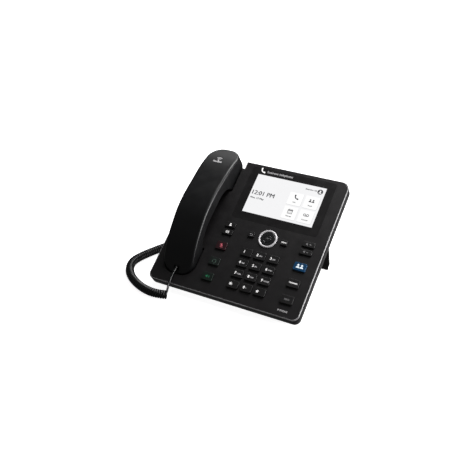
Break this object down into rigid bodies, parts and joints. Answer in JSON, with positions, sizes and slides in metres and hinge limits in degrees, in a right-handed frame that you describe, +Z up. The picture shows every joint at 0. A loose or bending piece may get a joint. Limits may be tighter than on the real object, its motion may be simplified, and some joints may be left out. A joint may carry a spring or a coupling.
{
  "type": "desk ip phone",
  "caption": "Tilted desk IP phone with a colour display, navigation ring, dial pad, function keys, folding stand and a handset on a curly cord.",
  "frame": {"origin": "centre of the footprint of the phone without its cord, on the plane it stands on", "axes": "+X to the user's right, +Y away from the user, +Z up"},
  "size_m": [0.2876, 0.2173, 0.1497],
  "materials": {
    "face_plastic": "fine matte texture",
    "base_plastic": "fine matte texture",
    "edge_trim": "satin silver-grey",
    "lens_gloss": "gloss",
    "screen": "lit screen",
    "steel_plate": "plated",
    "circuit_board": "solder mask",
    "key_rubber": "matte",
    "key_plastic": "satin",
    "mute_red": "satin",
    "headset_green": "satin",
    "speaker_green": "satin",
    "meeting_blue": "satin",
    "ring_chrome": "bright satin",
    "nav_gloss": "gloss",
    "inner_plastic": "moulded",
    "speaker_metal": "black",
    "microphone_metal": "satin",
    "jack_metal": "shielded",
    "jack_plastic": "moulded",
    "screw_steel": "zinc plated",
    "foot_rubber": "matte",
    "stand_plastic": "fine matte texture",
    "handset_plastic": "satin",
    "weight_steel": "plain",
    "cord_jacket": "satin",
    "plug_clear": "clear moulded"
  },
  "bodies": {
    "desk_unit": {"upper_housing": "face_plastic", "lower_housing": "base_plastic", "edge_trim": "edge_trim", "display_lens": "lens_gloss", "lcd_module": "screen", "lcd_bracket": "steel_plate", "main_board": "circuit_board", "keypad_membrane": "key_rubber", "nav_trim_ring": "ring_chrome", "hook_switch": "inner_plastic", "loudspeaker": "speaker_metal", "microphone": "microphone_metal", "network_jacks": "jack_metal", "headset_jack": "jack_plastic", "power_jack": "jack_plastic", "handset_port": "jack_plastic", "housing_screws": "screw_steel", "stand_hinge_pins": "screw_steel", "front_feet": "foot_rubber", "cord_lead": "cord_jacket", "cord_coil": "cord_jacket", "cord_tail": "cord_jacket", "cord_plug_base": "plug_clear"},
    "handset": {"handset_back_shell": "handset_plastic", "handset_inner_shell": "handset_plastic", "earpiece_receiver": "microphone_metal", "handset_microphone": "microphone_metal", "handset_weight": "weight_steel", "handset_jack": "jack_plastic", "cord_plug_handset": "plug_clear"},
    "stand": {"stand_leg": "stand_plastic", "stand_feet": "foot_rubber"},
    "nav_pivot": {"nav_pivot": "inner_plastic"},
    "nav_pad": {"nav_pad": "nav_gloss"},
    "ok_button": {"ok_button": "nav_gloss"},
    "hook_plunger": {"hook_plunger": "inner_plastic"},
    "key_1": {"key_1": "key_plastic"},
    "key_2": {"key_2": "key_plastic"},
    "key_3": {"key_3": "key_plastic"},
    "key_4": {"key_4": "key_plastic"},
    "key_5": {"key_5": "key_plastic"},
    "key_6": {"key_6": "key_plastic"},
    "key_7": {"key_7": "key_plastic"},
    "key_8": {"key_8": "key_plastic"},
    "key_9": {"key_9": "key_plastic"},
    "key_star": {"key_star": "key_plastic"},
    "key_0": {"key_0": "key_plastic"},
    "key_hash": {"key_hash": "key_plastic"},
    "voicemail_key": {"voicemail_key": "key_plastic"},
    "contacts_key": {"contacts_key": "key_plastic"},
    "mute_key": {"mute_key": "mute_red"},
    "headset_key": {"headset_key": "headset_green"},
    "speaker_key": {"speaker_key": "speaker_green"},
    "back_key": {"back_key": "key_plastic"},
    "menu_key": {"menu_key": "key_plastic"},
    "volume_up_key": {"volume_up_key": "key_plastic"},
    "volume_down_key": {"volume_down_key": "key_plastic"},
    "meeting_key": {"meeting_key": "meeting_blue"},
    "transfer_key": {"transfer_key": "key_plastic"},
    "hold_key": {"hold_key": "key_plastic"}
  },
  "joints": [
    {"name": "handset_lift", "type": "slide", "parent": "desk_unit", "child": "handset", "axis": [0, -0.5592, 0.829], "range_m": [0, 0.06]},
    {"name": "hook_rise", "type": "slide", "parent": "desk_unit", "child": "hook_plunger", "axis": [0, -0.5592, 0.829], "range_m": [0, 0.004]},
    {"name": "stand_fold", "type": "hinge", "parent": "desk_unit", "child": "stand", "pos_m": [0, 0.03641, 0.08086], "axis": [-1, 0, 0], "range_deg": [0, 72.8]},
    {"name": "nav_rock_up_down", "type": "hinge", "parent": "desk_unit", "child": "nav_pivot", "pos_m": [0.0328, -0.00759, 0.06831], "axis": [1, 0, 0], "range_deg": [-3, 3], "stiffness_Nm_per_rad": 0.5},
    {"name": "nav_rock_left_right", "type": "hinge", "parent": "nav_pivot", "child": "nav_pad", "pos_m": [0.0328, -0.00759, 0.06831], "axis": [0, 0.829, 0.5592], "range_deg": [-3, 3], "stiffness_Nm_per_rad": 0.5},
    {"name": "ok_press", "type": "slide", "parent": "desk_unit", "child": "ok_button", "axis": [0, 0.5592, -0.829], "range_m": [0, 0.0012], "stiffness_N_per_m": 400, "springref_m": -0.0008},
    {"name": "key_1_press", "type": "slide", "parent": "desk_unit", "child": "key_1", "axis": [0, 0.5592, -0.829], "range_m": [0, 0.0012], "stiffness_N_per_m": 400, "springref_m": -0.0008},
    {"name": "key_2_press", "type": "slide", "parent": "desk_unit", "child": "key_2", "axis": [0, 0.5592, -0.829], "range_m": [0, 0.0012], "stiffness_N_per_m": 400, "springref_m": -0.0008},
    {"name": "key_3_press", "type": "slide", "parent": "desk_unit", "child": "key_3", "axis": [0, 0.5592, -0.829], "range_m": [0, 0.0012], "stiffness_N_per_m": 400, "springref_m": -0.0008},
    {"name": "key_4_press", "type": "slide", "parent": "desk_unit", "child": "key_4", "axis": [0, 0.5592, -0.829], "range_m": [0, 0.0012], "stiffness_N_per_m": 400, "springref_m": -0.0008},
    {"name": "key_5_press", "type": "slide", "parent": "desk_unit", "child": "key_5", "axis": [0, 0.5592, -0.829], "range_m": [0, 0.0012], "stiffness_N_per_m": 400, "springref_m": -0.0008},
    {"name": "key_6_press", "type": "slide", "parent": "desk_unit", "child": "key_6", "axis": [0, 0.5592, -0.829], "range_m": [0, 0.0012], "stiffness_N_per_m": 400, "springref_m": -0.0008},
    {"name": "key_7_press", "type": "slide", "parent": "desk_unit", "child": "key_7", "axis": [0, 0.5592, -0.829], "range_m": [0, 0.0012], "stiffness_N_per_m": 400, "springref_m": -0.0008},
    {"name": "key_8_press", "type": "slide", "parent": "desk_unit", "child": "key_8", "axis": [0, 0.5592, -0.829], "range_m": [0, 0.0012], "stiffness_N_per_m": 400, "springref_m": -0.0008},
    {"name": "key_9_press", "type": "slide", "parent": "desk_unit", "child": "key_9", "axis": [0, 0.5592, -0.829], "range_m": [0, 0.0012], "stiffness_N_per_m": 400, "springref_m": -0.0008},
    {"name": "key_star_press", "type": "slide", "parent": "desk_unit", "child": "key_star", "axis": [0, 0.5592, -0.829], "range_m": [0, 0.0012], "stiffness_N_per_m": 400, "springref_m": -0.0008},
    {"name": "key_0_press", "type": "slide", "parent": "desk_unit", "child": "key_0", "axis": [0, 0.5592, -0.829], "range_m": [0, 0.0012], "stiffness_N_per_m": 400, "springref_m": -0.0008},
    {"name": "key_hash_press", "type": "slide", "parent": "desk_unit", "child": "key_hash", "axis": [0, 0.5592, -0.829], "range_m": [0, 0.0012], "stiffness_N_per_m": 400, "springref_m": -0.0008},
    {"name": "voicemail_key_press", "type": "slide", "parent": "desk_unit", "child": "voicemail_key", "axis": [0, 0.5592, -0.829], "range_m": [0, 0.0012], "stiffness_N_per_m": 400, "springref_m": -0.0008},
    {"name": "contacts_key_press", "type": "slide", "parent": "desk_unit", "child": "contacts_key", "axis": [0, 0.5592, -0.829], "range_m": [0, 0.0012], "stiffness_N_per_m": 400, "springref_m": -0.0008},
    {"name": "mute_key_press", "type": "slide", "parent": "desk_unit", "child": "mute_key", "axis": [0, 0.5592, -0.829], "range_m": [0, 0.0012], "stiffness_N_per_m": 400, "springref_m": -0.0008},
    {"name": "headset_key_press", "type": "slide", "parent": "desk_unit", "child": "headset_key", "axis": [0, 0.5592, -0.829], "range_m": [0, 0.0012], "stiffness_N_per_m": 400, "springref_m": -0.0008},
    {"name": "speaker_key_press", "type": "slide", "parent": "desk_unit", "child": "speaker_key", "axis": [0, 0.5592, -0.829], "range_m": [0, 0.0012], "stiffness_N_per_m": 400, "springref_m": -0.0008},
    {"name": "back_key_press", "type": "slide", "parent": "desk_unit", "child": "back_key", "axis": [0, 0.5592, -0.829], "range_m": [0, 0.0012], "stiffness_N_per_m": 400, "springref_m": -0.0008},
    {"name": "menu_key_press", "type": "slide", "parent": "desk_unit", "child": "menu_key", "axis": [0, 0.5592, -0.829], "range_m": [0, 0.0012], "stiffness_N_per_m": 400, "springref_m": -0.0008},
    {"name": "volume_up_key_press", "type": "slide", "parent": "desk_unit", "child": "volume_up_key", "axis": [0, 0.5592, -0.829], "range_m": [0, 0.0012], "stiffness_N_per_m": 400, "springref_m": -0.0008},
    {"name": "volume_down_key_press", "type": "slide", "parent": "desk_unit", "child": "volume_down_key", "axis": [0, 0.5592, -0.829], "range_m": [0, 0.0012], "stiffness_N_per_m": 400, "springref_m": -0.0008},
    {"name": "meeting_key_press", "type": "slide", "parent": "desk_unit", "child": "meeting_key", "axis": [0, 0.5592, -0.829], "range_m": [0, 0.0012], "stiffness_N_per_m": 400, "springref_m": -0.0008},
    {"name": "transfer_key_press", "type": "slide", "parent": "desk_unit", "child": "transfer_key", "axis": [0, 0.5592, -0.829], "range_m": [0, 0.0012], "stiffness_N_per_m": 400, "springref_m": -0.0008},
    {"name": "hold_key_press", "type": "slide", "parent": "desk_unit", "child": "hold_key", "axis": [0, 0.5592, -0.829], "range_m": [0, 0.0012], "stiffness_N_per_m": 400, "springref_m": -0.0008}
  ],
  "couplings": [
    {"joint": "hook_rise", "follows": "handset_lift", "ratio": 0.066667}
  ]
}
